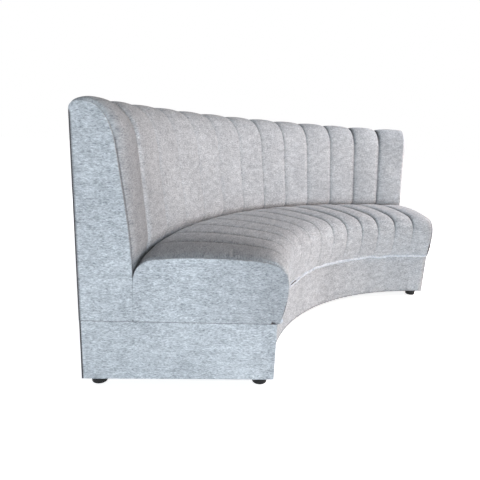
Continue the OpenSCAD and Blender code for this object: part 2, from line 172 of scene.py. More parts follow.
def birch_plywood():
    finish = Finish(bpy.data.materials.new("birch_plywood"))
    place = finish.node("ShaderNodeTexCoord", output=3)
    figure = finish.streaks(place, (0.4, 0.03, 0.4), 4.0)
    pores = finish.streaks(place, (0.03, 0.0012, 0.03), 3.0)
    tone = 0.55 * figure + 0.45 * pores
    return finish.done(
        Base_Color=finish.blend(tone, (0.42, 0.27, 0.14, 1), (0.74, 0.57, 0.37, 1)),
        Roughness=0.5 + 0.25 * pores,
        Normal=finish.bump(pores, 0.0003),
    )


boards = [
    name
    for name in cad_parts
    if any(word in name for word in ("plate", "board", "rib", "rail", "deck", "skin", "base_panel"))
]
finished(birch_plywood(), boards)

# Dust cover: thin black spunbonded cloth, stapled flat under the plinth, with a hole for each stud.
# It only shows from below.
sweep = math.radians(90)
plinth_in_r, plinth_out_r = 0.945, 1.575
cloth_t = 0.002


def spunbonded_cloth():
    finish = Finish(bpy.data.materials.new("black_spunbonded_cloth"))
    place = finish.node("ShaderNodeTexCoord", output=3)
    fibres = finish.streaks(place, (0.004, 0.0007, 0.004), 4.0)
    dimples = finish.node("ShaderNodeTexVoronoi", {}, {"Vector": place, "Scale": 700.0})
    return finish.done(
        Base_Color=finish.blend(fibres, (0.012, 0.012, 0.013, 1), (0.05, 0.05, 0.052, 1)),
        Roughness=0.75 + 0.2 * fibres,
        Normal=finish.bump(dimples, 0.0002),
    )


finished(spunbonded_cloth(), ["dust_cover"])

# Plinth cloth: a silver-grey chenille with slubs along its weft, pulled tight over the boards.
# Front, back and both ends are separate lengths that meet at the corners, turned under at the bottom.
back_out_r = 1.577
centre = Vector((0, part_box("outside_back_cover")[1].y - back_out_r, 0))
foot_z, plinth_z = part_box("plinth_front_cover")[0].z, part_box("plinth_front_cover")[1].z
plinth_end_r = plinth_out_r - 0.0003
plinth_pull = 0.0006
plinth_edge_r, plinth_end_edge_r = 0.0009, 0.0008
# Widths of the painted shade lines at the plinth's foot, round its back corner and in its seam under the
# seat.
bottom_line, corner_line, plinth_seam = 0.004, 0.0075, 0.0014
ends = ((-1, "left"), (1, "right"))
cloth_gap = 0.012
edge_rows, foot_tightness, hard_edge_angle = (0.25, 0.35, 0.4, 1), 5, 1.1
slub_size, fleck_size = (0.012, 0.0045, 1), (0.006, 0.0024, 1)
cloud_size, nap_size = (0.04, 0.02, 1), (0.16, 0.22, 1)
yarn_sway = (0.006, 0.007, 0)
weft_pitch = 0.0024
weave_depth = 0.0016
# The colour that all painted shade on the chenille blends towards.
seam_shadow = (0.085, 0.075, 0.08, 1)


def chenille(name, dark, pale):
    """Cloth of dark and pale yarns, read on its own map in metres: weft along x and warp along y."""
    finish = Finish(bpy.data.materials.new(name))
    cloth = finish.node("ShaderNodeUVMap", {"uv_map": "cloth"})
    sway = finish.node("ShaderNodeTexNoise", {}, {"Vector": cloth, "Scale": 85.0, "Detail": 0.0}, 1)
    curl = finish.node("ShaderNodeVectorMath", {"operation": "SUBTRACT"}, {0: sway, 1: (0.5, 0.5, 0.5)})
    curled = finish.node(
        "ShaderNodeVectorMath", {"operation": "MULTIPLY_ADD"}, {0: curl, 1: yarn_sway, 2: cloth}
    )
    slubs = finish.streaks(curled, slub_size)
    flecks = finish.streaks(curled, fleck_size, 1.0, (3.1, 7.7, 0))
    clouds = finish.streaks(cloth, cloud_size, 2.0, (5.3, 1.1, 0))
    broad_patch = finish.streaks(cloth, nap_size, 2.0, (1.7, 2.9, 0))
    weft = finish.node("ShaderNodeSeparateXYZ", {}, {"Vector": cloth}, 1)
    turns = weft * (2 * math.pi / weft_pitch) + 5 * flecks
    row = finish.node("ShaderNodeMath", {"operation": "SINE"}, {0: turns})
    # The mesh attribute read here holds painted shade: the cloth blends towards seam_shadow in seams,
    # crevices and shaded patches.
    painted_shade = finish.node("ShaderNodeAttribute", {"attribute_name": "painted_shade"}, output=2)
    tone = 1.4 * slubs + 1.05 * flecks + 0.75 * clouds + 0.4 * broad_patch - 1.3
    clear = finish.node("ShaderNodeClamp", {}, {"Value": tone})
    return finish.done(
        Base_Color=finish.blend(painted_shade, finish.blend(clear, dark, pale), seam_shadow),
        Roughness=0.94,
        Specular_IOR_Level=0.2,
        Sheen_Weight=0.2,
        Sheen_Roughness=0.45,
        Normal=finish.bump(0.4 * slubs + 0.25 * flecks + 0.06 * row, weave_depth),
    )


silver_chenille = chenille("silver_chenille", (0.27, 0.28, 0.30, 1), (0.80, 0.81, 0.82, 1))
end_chenille = chenille("silver_chenille_ends", (0.25, 0.26, 0.28, 1), (0.84, 0.85, 0.87, 1))


def stood(made, name, material):
    """The finished piece of a mesh, its faces shaded smooth."""
    mesh = bpy.data.meshes.new(name)
    made.to_mesh(mesh)
    made.free()
    for polygon in mesh.polygons:
        polygon.use_smooth = True
    mesh.materials.append(material)
    piece = bpy.data.objects.new(name, mesh)
    bpy.context.scene.collection.objects.link(piece)
    return piece


def runs(line):
    """How far along a line of points each one lies."""
    far = [0.0]
    for one, other in zip(line, line[1:]):
        far.append(far[-1] + math.dist(one, other))
    return far


def laid(made, lay):
    """Lays the cloth's map on a mesh: lay gives each corner of a face its place in the cloth."""
    cloth = made.loops.layers.uv.new("cloth")
    for face in made.faces:
        for corner in face.loops:
            corner[cloth].uv = lay(face, corner.vert)


def on_curve(share, r, z, inset):
    """The point at a share of the sweep, -1 at the left end and 1 at the right, and at radius r."""
    a = share * (sweep / 2 - math.asin(inset / r))
    return centre + Vector((r * math.sin(a), r * math.cos(a), z))


def swept(outline, steps):
    """A closed outline of (radius, height) points, spun about the centre of the curve in steps.
    Point number stop of ring number ring is then vertex ring * len(outline) + stop."""
    made = bmesh.new()
    start = [made.verts.new(centre + Vector((0, r, z))) for r, z in outline]
    edges = [made.edges.new(pair) for pair in zip(start, start[1:] + start[:1])]
    bmesh.ops.rotate(made, verts=start, cent=centre, matrix=Matrix.Rotation(sweep / 2, 3, "Z"))
    bmesh.ops.spin(
        made, geom=start + edges, cent=centre, axis=(0, 0, 1), angle=-sweep, steps=steps, use_merge=False
    )
    made.verts.index_update()
    return made


def rounded_strip(r_in, r_out, z_low, z_high, edge_r):
    """The section of a cloth on a board: a fine face line with rounded edges, and a plain back. One row
    of the face lies close to the lower edge, where the cloth's dark line ends."""
    turn = 0.3 * edge_r
    face = [(r_in + edge_r, z_low), (r_in + turn, z_low + turn)]
    count = round((z_high - z_low) / cloth_gap)
    heights = [z_low + edge_r + (z_high - z_low - 2 * edge_r) * k / count for k in range(count + 1)]
    heights.insert(1, z_low + 4 * edge_r)
    face += [(r_in, z) for z in heights]
    face += [(r_in + turn, z_high - turn), (r_in + edge_r, z_high)]
    return face + [(r_out, z_high), (r_out, z_low)]


def facing_out(section):
    """The same section with its face on the outer side of the curve."""
    radii = [r for r, z in section]
    return [(min(radii) + max(radii) - r, z) for r, z in section]


def ripple(place, size, height):
    """A soft unevenness of that size and height, at a point of the cloth."""
    return height * noise.noise(place / size)


def pulled(place, sizes, heights):
    """The unevenness of a pulled cloth at a point of it: ripples of several sizes and their heights."""
    return sum(ripple(place, size, height) for size, height in zip(sizes, heights))


def clipped(value):
    """A value kept between 0 and 1."""
    return max(0.0, min(1.0, value))


def dark_line(away, wide):
    """How much painted shade a seam gets at a distance from it: full up to 0.6 of its width, nothing
    beyond it.
    """
    return clipped(2.5 * (1 - away / wide))


def curved_cloth(name, outline, outward, inset, pull):
    """A cloth swept from end to end, inset from the end faces. Its face is uneven by pull, and a line of
    painted shade runs along its lower edge."""
    steps = round(sweep * outline[0][0] / (2 * cloth_gap))
    made = swept(outline, steps)
    far = runs(outline)
    stops = len(outline)
    painted_shade = made.verts.layers.float.new("painted_shade")
    for v in made.verts:
        ring, stop = divmod(v.index, stops)
        r, z = outline[stop]
        v[painted_shade] = dark_line(z - outline[0][1], bottom_line)
        spread = pulled(v.co, (0.13, 0.045), (pull, 0.4 * pull))
        v.co = on_curve(2 * ring / steps - 1, r + outward * spread, z, inset)
    bmesh.ops.holes_fill(made, edges=[e for e in made.edges if e.is_boundary])
    bmesh.ops.recalc_face_normals(made, faces=made.faces)
    middle_r = outline[0][0]

    def lay(face, v):
        ring, stop = divmod(v.index, stops)
        return (ring / steps - 0.5) * sweep * middle_r, far[stop]

    laid(made, lay)
    return stood(made, name, silver_chenille)


def end_cloth(name, side, outline, rolled, thick, edge_r, shape, shade, fine=()):
    """A cloth or panel cut to an outline of (radius, height) points, standing in the left (-1) or right
    (1) end face. The first sides of the outline, rolled of them, turn over softly, its foot turns over
    tightly, and the others lie close to the next cloth. At (radius, height, distance to a rolled edge),
    shape gives how far the outer face stands out and shade how much painted shade it gets at its
    seams. fine gives radii where the mesh is cut once more."""
    made = bmesh.new()
    corners = [made.verts.new((0, r, z)) for r, z in outline]
    face = made.faces.new(corners)
    for row in edge_rows:
        bmesh.ops.inset_region(
            made, faces=[face], thickness=row * edge_r, use_boundary=True, use_even_offset=True
        )
    for axis in (1, 2):
        low, high = min(p[axis - 1] for p in outline), max(p[axis - 1] for p in outline)
        count = round((high - low) / cloth_gap)
        across = Vector((0, 1, 0)) if axis == 1 else Vector((0, 0, 1))
        cuts = [low + (high - low) * k / count for k in range(1, count)]
        for cut in cuts + (list(fine) if axis == 1 else []):
            bmesh.ops.bisect_plane(
                made,
                geom=made.verts[:] + made.edges[:] + made.faces[:],
                plane_co=across * cut,
                plane_no=across,
            )
    bmesh.ops.recalc_face_normals(made, faces=made.faces)
    painted_shade = made.verts.layers.float.new("painted_shade")
    front = made.verts[:]
    rim = list(zip(outline, outline[1:] + outline[:1]))[:rolled]
    foot_line = min(z for r, z in outline)
    for v in front:
        place = Vector((v.co.y, v.co.z, 0))
        gaps = []
        for one, other in rim:
            foot, share = intersect_point_line(place, Vector((*one, 0)), Vector((*other, 0)))
            foot = Vector((*one, 0)).lerp(Vector((*other, 0)), clipped(share))
            gaps.append((place - foot).length)
        soft = min(gaps)
        fall = max(0.0, edge_r - min(soft, foot_tightness * (place.y - foot_line)))
        v.co.x = edge_r - math.sqrt(edge_r ** 2 - fall ** 2) - shape(place.x, place.y, soft)
        v[painted_shade] = shade(place.x, place.y, soft)
    held = bmesh.ops.extrude_face_region(made, geom=made.faces[:], use_keep_orig=True)
    for v in (g for g in held["geom"] if isinstance(g, bmesh.types.BMVert)):
        v.co.x = thick
    bmesh.ops.recalc_face_normals(made, faces=made.faces)
    for e in made.edges:
        e.smooth = e.calc_face_angle() < hard_edge_angle
    laid(made, lambda face, v: (v.co.y, v.co.z + (0 if v.co.x < thick else 1)))
    if side > 0:
        bmesh.ops.scale(made, verts=made.verts, vec=(-1, 1, 1))
        bmesh.ops.reverse_faces(made, faces=made.faces)
    bmesh.ops.rotate(
        made, verts=made.verts, cent=(0, 0, 0), matrix=Matrix.Rotation(-side * sweep / 2, 3, "Z")
    )
    bmesh.ops.translate(made, verts=made.verts, vec=centre)
    return stood(made, name, end_chenille)


def worn_by(piece, node):
    """The cloth rides on the bench in the place of a CAD node, which it hides."""
    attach(piece, "root")
    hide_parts(node)
    return piece


front_strip = rounded_strip(plinth_in_r, plinth_in_r + cloth_t, foot_z, plinth_z, plinth_edge_r)
back_strip = rounded_strip(plinth_out_r - cloth_t, plinth_out_r, foot_z, plinth_z, plinth_edge_r)
plinth_front = curved_cloth("plinth_front_cloth", front_strip, -1, cloth_t, plinth_pull)
plinth_back = curved_cloth("plinth_back_cloth", facing_out(back_strip), 1, cloth_t, plinth_pull)
for piece, r in ((plinth_front, plinth_in_r), (plinth_back, plinth_out_r)):
    worn_by(piece, piece.name.replace("_cloth", "_cover"))
    sweep * r


def plinth_end_shape(r, z, edge):
    """The cloth dips a little between the boards under it, and is uneven where it was pulled."""
    return pulled(Vector((r, z, 0.3)), (0.09, 0.03), (plinth_pull, 0.3 * plinth_pull))


def plinth_end_shade(r, z, edge):
    """Painted shade where the cloth turns round the back corner, and in the seam under the seat."""
    return max(dark_line(plinth_out_r - r, corner_line), 0.8 * dark_line(plinth_z - z, plinth_seam))


for side, word in ends:
    piece = end_cloth(
        name="plinth_end_cloth_" + word,
        side=side,
        outline=[
            (plinth_in_r, foot_z),
            (plinth_end_r, foot_z),
            (plinth_end_r, plinth_z),
            (plinth_in_r, plinth_z),
        ],
        rolled=4,
        thick=cloth_t,
        edge_r=plinth_end_edge_r,
        shape=plinth_end_shape,
        shade=plinth_end_shade,
        fine=(plinth_out_r - corner_line, plinth_out_r - 0.004),
    )
    worn_by(piece, "plinth_end_cover_" + word)

# Seat foam: one block of flexible polyurethane foam cut to the seat's section, glued to the deck.
# It lies under the channelled cover, which hides it.
seat_back_r = 1.4077
seat_seam_z = 0.444
seat_gap = 0.0003
end_t = 0.008
seat_pad_t = 0.012
deck_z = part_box("seat_deck")[1].z
base_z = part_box("seat_base_panel")[1].z


def between(start, stop, first, last):
    """The four points of a cubic curve, its handles set by their shares of the way, as (across, up)."""
    run = Vector(stop) - Vector(start)
    return [
        Vector(start),
        Vector(start) + Vector((run.x * first[0], run.y * first[1])),
        Vector(stop) - Vector((run.x * last[0], run.y * last[1])),
        Vector(stop),
    ]


def traced(curves, counts):
    """Points (radius, height) along cubic curves joined end to end, that many steps on each one."""
    line = []
    for curve, count in zip(curves, counts):
        line += interpolate_bezier(*curve, count + 1)[:-1]
    return [Vector((p.x, p.y)) for p in line + [curves[-1][3]]]


def outward(line):
    """At each point of a line, the direction that points out of the padding."""
    found = []
    for k in range(len(line)):
        along = line[min(k + 1, len(line) - 1)] - line[max(k - 1, 0)]
        found.append(Vector((-along.y, along.x)).normalized())
    return found


def set_in(line, depth):
    """The line moved into the padding by that depth."""
    return [p - depth * n for p, n in zip(line, outward(line))]


seat_bottom, seat_full = (0.937, 0.237), (0.915, 0.355)
nose_end, rear_start = (0.995, seat_seam_z), (1.3247, seat_seam_z)
rear_end = (seat_back_r, 0.370)
crown_handle = Vector((0.08, 0.008 * 4 / 3))
seat_curves = [
    between(seat_bottom, seat_full, (0.55, 0.3), (0, 0.35)),
    between(seat_full, nose_end, (0, 0.62), (0.7, 0.08)),
    [
        Vector(nose_end),
        Vector(nose_end) + crown_handle,
        Vector(rear_start) + Vector((-crown_handle.x, crown_handle.y)),
        Vector(rear_start),
    ],
    between(rear_start, rear_end, (0.55, 0), (0, 0.7)),
]


def cut_foam():
    finish = Finish(bpy.data.materials.new("cut_foam"))
    place = finish.node("ShaderNodeTexCoord", output=3)
    cells = finish.node("ShaderNodeTexVoronoi", {}, {"Vector": place, "Scale": 900.0})
    age = finish.streaks(place, (0.3, 0.3, 0.1))
    return finish.done(
        Base_Color=finish.blend(age, (0.82, 0.76, 0.52, 1), (0.92, 0.88, 0.70, 1)),
        Roughness=0.95,
        Normal=finish.bump(cells, 0.0006),
    )


foam_finish = cut_foam()
foam_steps = 60
foam_edge = 0.0004


def foam_block(name, outline):
    """A block of foam cut to an outline and bent along the bench, between the end panels."""
    made = swept(outline, foam_steps)
    for v in made.verts:
        ring, stop = divmod(v.index, len(outline))
        v.co = on_curve(2 * ring / foam_steps - 1, *outline[stop], end_t + seat_gap)
    bmesh.ops.holes_fill(made, edges=[e for e in made.edges if e.is_boundary])
    bmesh.ops.recalc_face_normals(made, faces=made.faces)
    piece = stood(made, name + "_block", foam_finish)
    bevelled = piece.modifiers.new("Cut edges", "BEVEL")
    bevelled.width = foam_edge
    bevelled.limit_method = "ANGLE"
    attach(piece, "root")
    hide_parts(name)


seat_rail_r = seat_bottom[0] + seat_pad_t + seat_gap
foam_top = set_in(traced(seat_curves, (3, 8, 6, 6)), seat_pad_t + seat_gap)
foam_foot = [
    (foam_top[-1].x, deck_z),
    (seat_rail_r, deck_z),
    (seat_rail_r, base_z),
    (seat_rail_r - seat_gap, base_z),
]
foam_block("seat_foam", [tuple(p) for p in foam_top[1:]] + foam_foot)

# Seat cover: the chenille sewn in thirteen channels over fibre wadding, rolled over the front of the seat.
# The seams are pulled down to the foam and the channels stand full between them.
channels = 13
channel_stops = (0, 0.02, 0.06, 0.13, 0.23, 0.36, 0.5, 0.64, 0.77, 0.87, 0.94, 0.98)
channel_rings = len(channel_stops)
seat_rise, seat_valley = 0.011, 0.009
seat_rise_shares = (0, 0.15, 0.2, 0.3, 0.45, 0.6, 0.75, 0.9, 1, 1, 0.8, 0.35, 0.05, 0)
seat_valley_shares = (0, 0.05, 0.1, 0.2, 0.4, 0.65, 0.8, 0.85, 0.9, 0.95, 0.85, 0.6, 0.2, 0)
seat_pull_shares = (0, 0.45, 0.45, 0.4, 0.4, 0.5, 0.7, 1, 1.4, 1.6, 1.8, 1.8, 1.7, 0)
# Shares of painted shade in each seat seam.
seat_shade_shares = (0, 0.1, 0.3, 0.2, 0.2, 0.2, 0.3, 0.4, 0.7, 0.8, 0.9, 0.9, 0.9, 0)
seam_line, end_seam_line = 0.08, 0.02
cut_apart = (0.731, 0.417)
groove_half = 0.03
stitch_draw, stitch_size, stitch_reach = 0.0012, 0.028, 0.05
wadding_lumps, wadding_size = 0.0012, 0.11
stuffing_frames, stuffing_reach = 20, 0.0018


def along(shares, place):
    """The value of a table of shares at a place between its entries, on a smooth curve through them."""
    at = min(int(place), len(shares) - 2)
    rest = place - at
    before, low, high, after = (shares[min(max(at + k, 0), len(shares) - 1)] for k in (-1, 0, 1, 2))
    bend = 2 * before - 5 * low + 4 * high - after + rest * (3 * (low - high) + after - before)
    return low + 0.5 * rest * (high - before + rest * bend)


def stuffed(piece, held):
    """Blows a cover up against its seams, where held is 1, and keeps that shape up to the stuffing's
    reach."""
    group = piece.vertex_groups.new(name="seams")
    for index, weight in enumerate(held):
        if weight > 0:
            group.add([index], weight, "REPLACE")
    cloth = piece.modifiers.new("Stuffing", "CLOTH")
    cloth.settings.vertex_group_mass = "seams"
    cloth.settings.quality = 5
    cloth.settings.mass = 0.3
    cloth.settings.use_pressure = True
    cloth.settings.uniform_pressure_force = 4.0
    cloth.settings.shrink_min = -0.02
    cloth.settings.effector_weights.gravity = 0
    cloth.collision_settings.use_collision = False
    scene = bpy.context.scene
    for moment in range(stuffing_frames):
        scene.frame_set(moment + 1)
    blown = piece.evaluated_get(bpy.context.evaluated_depsgraph_get())
    moves = [b.co - v.co for b, v in zip(blown.data.vertices, piece.data.vertices)]
    piece.modifiers.remove(cloth)
    piece.vertex_groups.remove(group)
    for v, move in zip(piece.data.vertices, moves):
        v.co += move * min(1.0, stuffing_reach / max(move.length, stuffing_reach))
    scene.frame_set(1)


def drawn_in(seam, dome_share):
    """How far the cover is drawn in at a distance from a seam, in channels: part dome and part groove."""
    return dome_share * (1 - 2 * seam) ** 2 + (1 - dome_share) * math.exp(-seam / groove_half)


def shade_across(marks, place):
    """How much painted shade falls at a place across the channels, on straight lines between its marks."""
    for (start, dark), (stop, next_dark) in zip(marks, marks[1:]):
        if start <= place < stop:
            return dark + (next_dark - dark) * (place - start) / (stop - start)
    return 0.0


def channelled(
    name,
    node,
    curves,
    counts,
    table_steps,
    rise,
    rise_shares,
    valley,
    valley_shares,
    pull_shares,
    shade_shares,
    end_rolls,
    crevice,
    painted_shade_marks,
    painted_shade_span,
    pad_t,
    seed,
    seam_stop=0,
    first_shares=(1,) * 14,
    low_shares=(0,) * 14,
    dome_shares=(0.5,) * 28,
):
    """A channelled cover over the seam line that curves trace, with a plain underside on the foam. The
    tables along the line (rise, valley, first, low) have table_steps entries on each curve, and places
    along it are counted in these. The padding rises by rise, less by low_shares on the three channels at
    the left, from the left end, the right end and each end seam over end_rolls, in channels. Its valleys
    are deep by valley: each seam is drawn in by its pull, times first_shares on the first one, and
    gets painted shade by its shade share, with a dome share for its left side and its right. crevice
    gives the places where the painted shade between seat and back starts and is full, and seam_stop
    where the painted shade line of the end seams ends. A patch of painted shade lies near the left end:
    its marks give how dark it is across the channels, and its span the places where it starts and is full."""
    line = traced(curves, counts)
    out = outward(line)
    under = set_in(line, pad_t)[::4]
    if (len(line) - 1) % 4:
        under.append(line[-1] - pad_t * out[-1])
    outline = [tuple(p) for p in line + under[::-1]]
    stops = len(outline)
    rings = channels * channel_rings
    steps_before = [sum(table_steps[:k]) for k in range(len(table_steps))]
    at = [
        steps_before[k] + table_steps[k] * i / counts[k]
        for k in range(len(counts))
        for i in range(counts[k])
    ]
    at.append(sum(table_steps))
    far = runs(outline)
    draw = random.Random(seed)
    pulls = [pull * (1 + draw.uniform(-0.15, 0.15)) for pull in pull_shares]
    made = swept(outline, rings)
    held = [1.0] * len(made.verts)
    painted_shade = [0.0] * len(made.verts)
    for v in made.verts:
        ring, stop = divmod(v.index, stops)
        channel, step = divmod(ring, channel_rings)
        u = channel_stops[step]
        share = 2 * (channel + u) / channels - 1
        r, z = outline[stop]
        if stop < len(line):
            seam = min(u, 1 - u)
            nearest = channel + (u > 0.5)
            to_end = (1 - abs(share)) * channels / 2
            end_roll = end_rolls[share > 0]
            roll = math.sqrt(1 - max(0.0, 1 - to_end / end_roll) ** 2)
            crown_roll = end_rolls[2] if share < 0 else min(end_rolls[1:])
            edge = math.sqrt(1 - max(0.0, 1 - to_end / crown_roll) ** 2)
            low = along(low_shares, at[stop]) * max(0.0, 1 - to_end / 3) if share < 0 else 0.0
            deep = valley * along(valley_shares, at[stop])
            drawn = drawn_in(seam, dome_shares[min(2 * nearest + (u <= 0.5), 2 * channels + 1)])
            pull = pulls[nearest] * (along(first_shares, at[stop]) if nearest == 1 else 1)
            seam_side = Vector((far[stop], 3.1 * channel + 9 * (u > 0.5), seed))
            tuft = ripple(seam_side, stitch_size, stitch_draw) * math.exp(-seam / stitch_reach)
            lumps = ripple(v.co, wadding_size, wadding_lumps)
            shift = (
                rise * along(rise_shares, at[stop]) * roll * (1 - low)
                + deep * (edge - pull * drawn)
                + (tuft + lumps) * (1 - drawn) * roll
            )
            r, z = Vector((r, z)) + shift * out[stop]
            fixed = stop in (0, len(line) - 1) or ring in (0, rings) or seam == 0
            held[v.index] = 1.0 if fixed else 0.0
            if nearest in (0, channels):
                shown = max(0.0, 1 - seam / end_seam_line) * clipped(seam_stop - at[stop])
            else:
                shown = max(0.0, 1 - seam / seam_line) * along(valley_shares, at[stop])
            # Painted shade of the cover: dark seam lines, the crevice between seat and back, and a patch
            # over the channels near the left end.
            seam_dark = shade_shares[nearest] * shown
            depth = (at[stop] - crevice[0]) / (crevice[1] - crevice[0])
            broad_patch = shade_across(painted_shade_marks, channel + u)
            broad_patch *= clipped((at[stop] - painted_shade_span[0]) / (painted_shade_span[1] - painted_shade_span[0]))
            painted_shade[v.index] = clipped(max(seam_dark, depth, broad_patch))
        v.co = on_curve(share, r, z, end_t + seat_gap)
    made.edges.ensure_lookup_table()
    for last in (False, True):
        edges = [
            e
            for e in made.edges
            if e.is_boundary
            and all((v.index // stops == rings) == last for v in e.verts)
            and len({v.index % stops < len(line) for v in e.verts}) == 1
        ]
        bmesh.ops.bridge_loops(made, edges=edges)
    bmesh.ops.recalc_face_normals(made, faces=made.faces)

    def lay(face, v):
        ring, stop = divmod(v.index, stops)
        middle_ring = sum(c.index // stops for c in face.verts) / len(face.verts)
        channel = min(int(middle_ring / channel_rings), channels - 1)
        place, step = divmod(ring, channel_rings)
        turn = (place + channel_stops[step] - channel - 0.5) * sweep / channels
        r = outline[stop][0]
        return turn * r + cut_apart[0] * channel, far[stop] + cut_apart[1] * channel + seed

    laid(made, lay)
    piece = stood(made, name, silver_chenille)
    marks = piece.data.attributes.new("painted_shade", "FLOAT", "POINT")
    marks.data.foreach_set("value", painted_shade)
    stuffed(piece, held)
    rounder = piece.modifiers.new("Rounder", "SUBSURF")
    rounder.levels = rounder.render_levels = 1
    worn_by(piece, node)
    return piece


seat_cover = channelled(
    name="seat_cover",
    node="seat_channelled_cover",
    curves=seat_curves,
    counts=(24, 30, 64, 26),
    table_steps=(3, 4, 3, 3),
    rise=seat_rise,
    rise_shares=seat_rise_shares,
    valley=seat_valley,
    valley_shares=seat_valley_shares,
    pull_shares=seat_pull_shares,
    shade_shares=seat_shade_shares,
    end_rolls=(1.6, 0.5, 1.2),
    # Painted shade in the crevice at the back of the seat, and over the first channels at its left end.
    crevice=(10.9, 11.7),
    painted_shade_marks=((0, 0.47), (1, 0.42), (2, 0.08), (3, 0)),
    painted_shade_span=(5.9, 7.6),
    pad_t=seat_pad_t,
    seed=13,
)

# Seat front hem: the lower edge of the seat cover, rolled over a cord and tacked just above the plinth.
# Its fold is painted pale as a highlight, and it wavers a little where the tacks pull it.
hem_r, hem_z = 0.9345, 0.2435
hem_thick, hem_waver, hem_sag = 0.0085, 0.007, 0.016
hem_steps, hem_sides, hem_side_wide = 200, 10, 0.0026
sag_at, sag_half = -0.38, 0.2
loop_start, loop_long, loop_thick = -0.48, 0.2, 0.003
shadow_start, shadow_long, shadow_thick = -0.425, 0.075, 0.0048
# Pale cloth for the hem and its loop: a painted highlight along the fold.
painted_highlight_edge = chenille("painted_highlight_chenille", (0.46, 0.50, 0.56, 1), (0.90, 0.92, 0.95, 1))
# Near-black cloth for a cord in the slit under the loop: a painted shadow.
painted_shadow_cloth = chenille("painted_shadow_chenille", (0.02, 0.02, 0.02, 1), (0.07, 0.07, 0.07, 1))


def hem_cord(name, steps, thick, material, laid_at):
    """A round cord along the front. At a share of its length, laid_at gives its share of the sweep, its
    radius and height there, and its share of thick, the cord's own radius."""
    section = [k * 2 * math.pi / hem_sides for k in range(hem_sides)]
    cord = swept([(hem_r + thick * math.cos(a), hem_z + thick * math.sin(a)) for a in section], steps)
    for v in cord.verts:
        ring, stop = divmod(v.index, hem_sides)
        share, r, z, full = laid_at(ring / steps)
        girth = thick * full * (1 + ripple(Vector((share * 50, 4, 1)), 1, 0.35))
        place = r + girth * math.cos(section[stop]), z + girth * math.sin(section[stop])
        v.co = on_curve(share, *place, end_t + seat_gap)
    bmesh.ops.holes_fill(cord, edges=[e for e in cord.edges if e.is_boundary])
    bmesh.ops.recalc_face_normals(cord, faces=cord.faces)
    step_length = sweep * hem_r / hem_steps
    laid(cord, lambda face, v: (v.index // hem_sides * step_length, v.index % hem_sides * hem_side_wide))
    piece = stood(cord, name, material)
    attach(piece, "root")


def along_hem(part):
    """The hem lies along the whole front and wavers, and one stretch near the left sags from the seat."""
    share = 2 * part - 1
    waver = ripple(Vector((share * 9, 0, 5)), 1, hem_waver)
    sag = max(0.0, 1 - ((share - sag_at) / sag_half) ** 2)
    r = hem_r + ripple(Vector((share * 20, 9, 5)), 1, 0.5 * hem_waver)
    return share, r, hem_z + waver * (1 - sag) - hem_sag * sag, 1 - 0.4 * sag


def along_loop(part):
    """A thin loop of the hem stays up against the seat where the rest sags."""
    return loop_start + loop_long * part, hem_r - 0.001, hem_z - 0.002, 1


def along_shadow(part):
    """A near-black cord lies in the slit between the two: a painted shadow."""
    return shadow_start + shadow_long * part, hem_r + 0.002, hem_z - 0.0085, 1


hem_cord("seat_front_hem", hem_steps, hem_thick, painted_highlight_edge, along_hem)
hem_cord("seat_front_hem_loop", 24, loop_thick, painted_highlight_edge, along_loop)
hem_cord("seat_front_hem_painted_shadow", 12, shadow_thick, painted_shadow_cloth, along_shadow)

# Seat end panels: chenille over thin wadding, stapled round the plywood ends of the seat box.
# Their edge is rolled where the channelled cover meets it, with a short pleat near the front.
panel_edge_r = 0.0022
panel_crown, crown_run = 0.003, 0.02
panel_seam = 0.0035
pleat_top, pleat_foot = (0.975, 0.312), (0.961, 0.249)
pleat_depth, pleat_bow = 0.0022, 0.006
pleat_half, pleat_line = 0.003, 0.0035
lifted_at, lifted_half = 0.007, 0.006
notch_depth, notch_half, notch_high = 0.0045, 0.005, 0.007
mouth_line = 0.014
nose_seam, nose_seam_z, nose_seam_half = 0.003, 0.285, 0.03
# Painted shade that grows darker towards the nose of the seat panel.
nose_painted_shade, nose_painted_shade_r, nose_painted_shade_run = 0.27, 1.24, 0.26


def panel_shape(r, z, edge):
    """Wadding lifts the middle of a panel, and the cloth is a little uneven over it."""
    lift = panel_crown * (1 - math.exp(-edge / crown_run))
    return lift + pulled(Vector((r, z, 0.7)), (0.08, 0.03), (0.0008, 0.0003))


def pleat_at(r, z):
    """How far up the pleat a place lies, as a share of its length, and how far behind its bowed line."""
    up = (z - pleat_foot[1]) / (pleat_top[1] - pleat_foot[1])
    bow = pleat_bow * 4 * up * (1 - up)
    return up, r - (pleat_foot[0] + (pleat_top[0] - pleat_foot[0]) * up - bow)


def pleated_shape(r, z, edge):
    """The seat's end panel: a pleat takes up its cloth under the nose, and a notch ends it at the foot."""
    up, behind = pleat_at(r, z)
    groove = math.exp(-((behind / pleat_half) ** 2))
    lifted = 0.6 * math.exp(-(((behind - lifted_at) / lifted_half) ** 2))
    fold = pleat_depth * clipped(4 * (1 - up)) * (groove - lifted)
    above_foot = (z - seat_bottom[1]) / notch_high
    notch = notch_depth * math.exp(-((behind / notch_half) ** 2) - above_foot ** 2)
    return panel_shape(r, z, edge) - fold - notch


def panel_shade(r, z, edge):
    """Painted shade in the seam between a panel and the plinth."""
    return 0.65 * dark_line(z - plinth_z, panel_seam)


